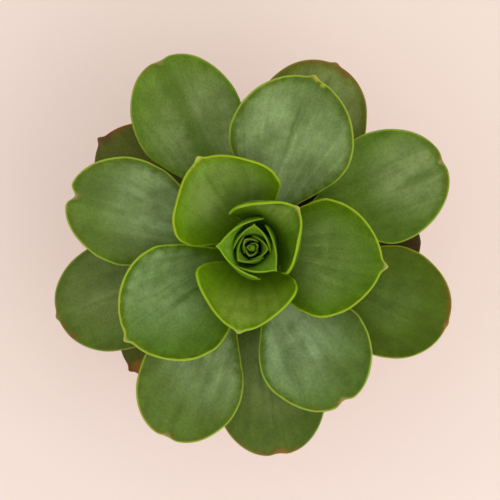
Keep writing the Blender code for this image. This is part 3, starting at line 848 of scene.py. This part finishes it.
def make_leaves():
    for order, leaf in enumerate(LEAVES):
        name = f"leaf_{order + 1:02d}"
        skin = SKINS[order]
        half = 0.5 * leaf.width
        foot = np.array([stem_radius(order) + GAP, foot_height(order)])
        rim = YOUNG_LEAF_RIM if order < YOUNG_LEAVES else LEAF_RIM
        points, faces, facts = blade_mesh(leaf, foot, rim, order + 1)
        length = math.hypot(leaf.reach - foot[0], leaf.rise)
        heart = (skin.share * length, skin.side * half, order + 1.0)
        crease = CREASES.get(order + 1, FAINT_CREASE)
        spots = []
        for spot in SPOTS:
            if spot.leaf == order + 1:
                spot_place = (spot.share * length, spot.side * half, order + 1.0)
                spots.append((spot_place, spot.size, spot.colour))
        look = LOOKS[skin.look]
        skin_name = f"{name}_skin"
        material = leaf_material(skin_name, look, order + 1, heart, skin.size * half, crease, spots)
        make_piece(f"{name}_blade", points, faces, facts, material, name)


def make_bud():
    """The growing point: the three youngest leaves, still rolled up together."""
    foot_z = CROWN_HEIGHT + BUD_LIFT
    rings = [(radius, foot_z + rise, STEM_Y) for radius, rise in BUD_CORE]
    points, faces = turned(rings, BUD_CORE_SEGMENTS)
    # The core has no blade of its own, and looks like the middle of one.
    facts = {
        "place": [(4.0 + x, y, float(BUD_SEED)) for x, y, _ in points],
        "edge": [(3.0, 6.0, 0.5)] * len(points),
        "side": [0.0] * len(points),
    }
    for order, leaf in enumerate(BUD_LEAVES):
        foot = np.array([BUD_FOOT_RADIUS - BUD_FOOT_STEP * order, foot_z])
        seed = BUD_SEED + order
        more, new_faces, new_facts = blade_mesh(leaf, foot, BUD_RIM, seed, BUD_ROWS, BUD_HALF_COLUMNS)
        faces += [[corner + len(points) for corner in face] for face in new_faces]
        points += more
        for fact, values in new_facts.items():
            facts[fact] += values
    heart = (BUD_HEART, 0.0, float(BUD_SEED))
    look = LOOKS["bud"]
    material = leaf_material("bud_skin", look, BUD_SEED, heart, BUD_HEART_SIZE, FAINT_CREASE, [])
    make_piece("bud_leaves", points, faces, facts, material, "bud")


def turned(rings, segments):
    """Points and faces of rings of (radius, height, offset along Y), joined in order."""
    points = []
    rows = []
    for radius, height, offset in rings:
        if radius == 0.0:
            rows.append([len(points)] * segments)
            points.append((0.0, offset, height))
            continue
        rows.append(list(range(len(points), len(points) + segments)))
        for step in range(segments):
            angle = 2.0 * math.pi * step / segments
            points.append((radius * math.cos(angle), offset + radius * math.sin(angle), height))
    faces = []
    for lower, upper in zip(rows, rows[1:], strict=False):
        for step in range(segments):
            after = (step + 1) % segments
            faces.append([lower[step], lower[after], upper[after], upper[step]])
    return points, faces


def rounded(corners, radius, steps=5):
    """A profile of corners, with each inner corner rounded off.

    A corner is (radius, height), or (radius, height, rounding) with a rounding of its own.
    """
    line = [corners[0]]
    for before, corner, after in zip(corners, corners[1:], corners[2:], strict=False):
        at = Vector(corner[:2])
        back = Vector(before[:2]) - at
        ahead = Vector(after[:2]) - at
        cut = min(corner[2] if len(corner) > 2 else radius, 0.45 * back.length, 0.45 * ahead.length)
        start = at + back.normalized() * cut
        end = at + ahead.normalized() * cut
        for step in range(steps + 1):
            t = step / steps
            spot = start * (1 - t) ** 2 + at * 2 * t * (1 - t) + end * t**2
            line.append((spot.x, spot.y))
    line.append(corners[-1][:2])
    return line


def inner_radius(z):
    """The pot's inner radius at a height."""
    foot = POT_FOOT_RADIUS - POT_WALL
    top = POT_RIM_RADIUS - POT_BAND_STEP - POT_WALL
    return foot + (top - foot) * (z - POT_FLOOR) / (POT_HEIGHT - POT_FLOOR)


def subdivided(line, step):
    """The same profile with no stretch longer than step."""
    result = [line[0]]
    for a, b in zip(line, line[1:], strict=False):
        count = max(1, math.ceil(math.dist(a, b) / step))
        for part in range(1, count + 1):
            share = part / count
            result.append((a[0] + (b[0] - a[0]) * share, a[1] + (b[1] - a[1]) * share))
    return result


def make_pot():
    """Tapered clay pot with a band at its rim and a hole in its floor, slightly out of true."""
    band_foot = POT_HEIGHT - POT_BAND_HEIGHT
    corners = [
        (DRAIN_HOLE_RADIUS, 0.5 * POT_FLOOR),
        (DRAIN_HOLE_RADIUS, 0.0, 0.8),
        (POT_FOOT_RADIUS, 0.0, 1.6),
        (inner_radius(band_foot) + POT_WALL, band_foot, 1.8),
        (POT_RIM_RADIUS - 0.5, band_foot, 1.6),
        (POT_RIM_RADIUS, band_foot + 3.0, 1.5),
        (POT_RIM_RADIUS, POT_HEIGHT, 1.9),
        (inner_radius(POT_HEIGHT), POT_HEIGHT, 1.7),
        (inner_radius(POT_FLOOR), POT_FLOOR, 2.0),
        (DRAIN_HOLE_RADIUS, POT_FLOOR, 0.8),
        (DRAIN_HOLE_RADIUS, 0.5 * POT_FLOOR),
    ]
    line = subdivided(rounded(corners, POT_LIP_ROUND), POT_STEP)
    points, faces = turned([(r, z, 0.0) for r, z in line[:-1]], POT_SEGMENTS)
    last = len(points) - POT_SEGMENTS
    for step in range(POT_SEGMENTS):
        after = (step + 1) % POT_SEGMENTS
        faces.append([last + step, last + after, after, step])
    moved = []
    for x, y, z in points:
        spread = 1.0 + POT_WOBBLE * noise.noise(Vector((x, y, 3.0 * z)) * 0.03)
        spread += POT_TURNING * math.sin(z * 1.9 + 0.6 * noise.noise(Vector((x, y, z)) * 0.02))
        if z < 0.5 or z > POT_HEIGHT - 1.0:
            spread = 1.0
        moved.append((x * spread, y * spread, z))
    make_piece("pot_clay", moved, faces, {}, clay_material(), "pot")


def make_soil():
    """Crumbly top, straight sides against the pot, and a socket that the stem stands in."""
    socket = STEM_FOOT_RADIUS + GAP
    bottom = POT_FLOOR + GAP
    socket_floor = SOIL_TOP - STEM_BURIED_DEPTH - GAP
    rings = [(0.0, socket_floor, STEM_Y), (socket, socket_floor, STEM_Y)]
    for step in range(SOIL_RINGS + 1):
        share = step / SOIL_RINGS
        radius = socket + (inner_radius(SOIL_TOP - SOIL_DOME) - GAP - socket) * share
        rings.append((radius, SOIL_TOP - SOIL_DOME * share**2, STEM_Y * (1.0 - share)))
    for height in (60.0, 45.0, 30.0, 15.0, bottom):
        rings.append((inner_radius(height) - GAP, height, 0.0))
    rings.append((0.0, bottom, 0.0))
    points, faces = turned(rings, SOIL_SEGMENTS)
    moved = []
    for x, y, z in points:
        if z > SOIL_TOP - SOIL_DOME - 1.0:
            place = Vector((x, y, 0.0))
            z -= 0.9 + 0.8 * noise.noise(place * 0.35) + 0.6 * noise.noise(place * 0.9)
        moved.append((x, y, z))
    material = earth_material("earth_fine", (40, 29, 21), (74, 56, 42))
    make_piece("soil_mix", moved, faces, {}, material, "soil")


OCTAHEDRON_POINTS = [(0, 0, 1), (1, 0, 0), (0, 1, 0), (-1, 0, 0), (0, -1, 0), (0, 0, -1)]
OCTAHEDRON_FACES = [(0, 1, 2), (0, 2, 3), (0, 3, 4), (0, 4, 1), (5, 2, 1), (5, 3, 2), (5, 4, 3), (5, 1, 4)]


def crumb_shape():
    """Points and faces of a small round stone, as an octahedron split once."""
    points = [Vector(point) for point in OCTAHEDRON_POINTS]
    middles = {}

    def middle(a, b):
        key = (min(a, b), max(a, b))
        if key not in middles:
            middles[key] = len(points)
            points.append((points[a] + points[b]).normalized())
        return middles[key]

    faces = []
    for a, b, c in OCTAHEDRON_FACES:
        ab, bc, ca = middle(a, b), middle(b, c), middle(c, a)
        faces += [(a, ab, ca), (ab, b, bc), (ca, bc, c), (ab, bc, ca)]
    return points, faces


def make_crumbs(name, count, sizes, seed, material):
    """Grit lying on the soil between the stem and the pot."""
    draw = random.Random(seed)
    shape, shape_faces = crumb_shape()
    points = []
    faces = []
    outer = inner_radius(SOIL_TOP) - 3.0
    for _ in range(count):
        bearing = draw.uniform(0.0, 2.0 * math.pi)
        radius = math.sqrt(draw.uniform((STEM_FOOT_RADIUS + 4.0) ** 2, outer**2))
        size = draw.uniform(*sizes)
        share = (radius / inner_radius(SOIL_TOP)) ** 2
        middle = Vector((radius * math.cos(bearing), radius * math.sin(bearing), 0.0))
        middle.z = SOIL_TOP - 0.8 - SOIL_DOME * share + 0.15 * size
        stretch = Vector((draw.uniform(0.7, 1.3), draw.uniform(0.7, 1.3), draw.uniform(0.5, 0.9)))
        turn = draw.uniform(0.0, math.pi)
        faces += [[corner + len(points) for corner in face] for face in shape_faces]
        own_noise = Vector((bearing, size, turn)) * 9.0
        for point in shape:
            bumpy = point * size * (1.0 + 0.5 * noise.noise(point * 1.7 + own_noise))
            x = bumpy.x * stretch.x
            y = bumpy.y * stretch.y
            spun_x = x * math.cos(turn) - y * math.sin(turn)
            spun_y = x * math.sin(turn) + y * math.cos(turn)
            spun = Vector((spun_x, spun_y, bumpy.z * stretch.z))
            points.append(tuple(middle + spun))
    make_piece(name, points, faces, {}, material, None)


def make_stem():
    """Short thick stem with the scars of shed leaves below the rosette."""
    rings = [(0.0, SOIL_TOP - STEM_BURIED_DEPTH, STEM_Y)]
    rings.append((0.8 * STEM_FOOT_RADIUS, SOIL_TOP - STEM_BURIED_DEPTH, STEM_Y))
    low = SOIL_TOP - 0.85 * STEM_BURIED_DEPTH
    for step in range(STEM_RINGS + 1):
        height = low + (CROWN_HEIGHT - low) * step / STEM_RINGS
        order = min(float(len(LEAVES) - 1), (CROWN_HEIGHT - height) / LEAF_PITCH)
        rings.append((stem_radius(order), height, STEM_Y))
    rings.append((0.0, CROWN_HEIGHT + 0.2 * STEM_TOP_RADIUS, STEM_Y))
    points, faces = turned(rings, STEM_SEGMENTS)
    moved = []
    scars = []
    for x, y, z in points:
        bearing = math.atan2(y - STEM_Y, x)
        scar = 0.0
        if SOIL_TOP - 1.0 < z < foot_height(len(LEAVES) - 1):
            one = math.sin(5.0 * bearing + 1.1 * z)
            other = math.sin(8.0 * bearing - 0.9 * z)
            scar = max(0.0, one * other)
        spread = 1.0 - 0.03 * scar + 0.02 * noise.noise(Vector((x, y, z)) * 0.5)
        spread = min(1.0, spread)
        moved.append((x * spread, STEM_Y + (y - STEM_Y) * spread, z))
        scars.append(scar)
    make_piece("stem_bark", moved, faces, {"scar": scars}, bark_material(), "stem")


# ---------------------------------------------------------------- stage


def make_table():
    mesh = bpy.data.meshes.new("table_top")
    half = TABLE_HALF
    corners = [(-half, -half, 0.0), (half, -half, 0.0), (half, half, 0.0), (-half, half, 0.0)]
    mesh.from_pydata(corners, [], [(0, 1, 2, 3)])
    mesh.materials.append(table_material())
    table = bpy.data.objects.new("table_top", mesh)
    bpy.context.scene.collection.objects.link(table)


def make_lamp():
    data = bpy.data.lights.new("key", "AREA")
    data.shape = "DISK"
    data.size = LAMP_SIZE
    data.energy = LAMP_POWER
    data.color = LAMP_COLOUR
    lamp = bpy.data.objects.new("key", data)
    lamp.location = LAMP_PLACE
    aim = Vector((0.0, 0.0, AIM_HEIGHT)) - Vector(LAMP_PLACE)
    lamp.rotation_euler = aim.to_track_quat("-Z", "Y").to_euler()
    bpy.context.scene.collection.objects.link(lamp)


def make_camera():
    data = bpy.data.cameras.new("camera")
    data.lens = LENS
    data.sensor_width = SENSOR_WIDTH
    data.clip_start = CLIP_START
    camera = bpy.data.objects.new("camera", data)
    camera.location = CAMERA_PLACE
    bpy.context.scene.collection.objects.link(camera)
    bpy.context.scene.camera = camera


def make_stage():
    make_table()
    make_camera()
    make_lamp()
    world = bpy.data.worlds.new("room")
    world.use_nodes = True
    background = world.node_tree.nodes["Background"]
    background.inputs["Color"].default_value = ROOM_COLOUR
    background.inputs["Strength"].default_value = ROOM_STRENGTH
    bpy.context.scene.world = world
    bpy.context.scene.view_settings.view_transform = "Standard"


make_stage()
make_pot()
make_soil()
crumb_skin = earth_material("crumb_fine", (52, 38, 28), (96, 74, 54))
make_crumbs("soil_crumbs", *CRUMBS, crumb_skin)
perlite_skin = earth_material("perlite_fine", (196, 190, 176), (232, 228, 216))
make_crumbs("soil_perlite", *PERLITE, perlite_skin)
make_stem()
make_bud()
make_leaves()
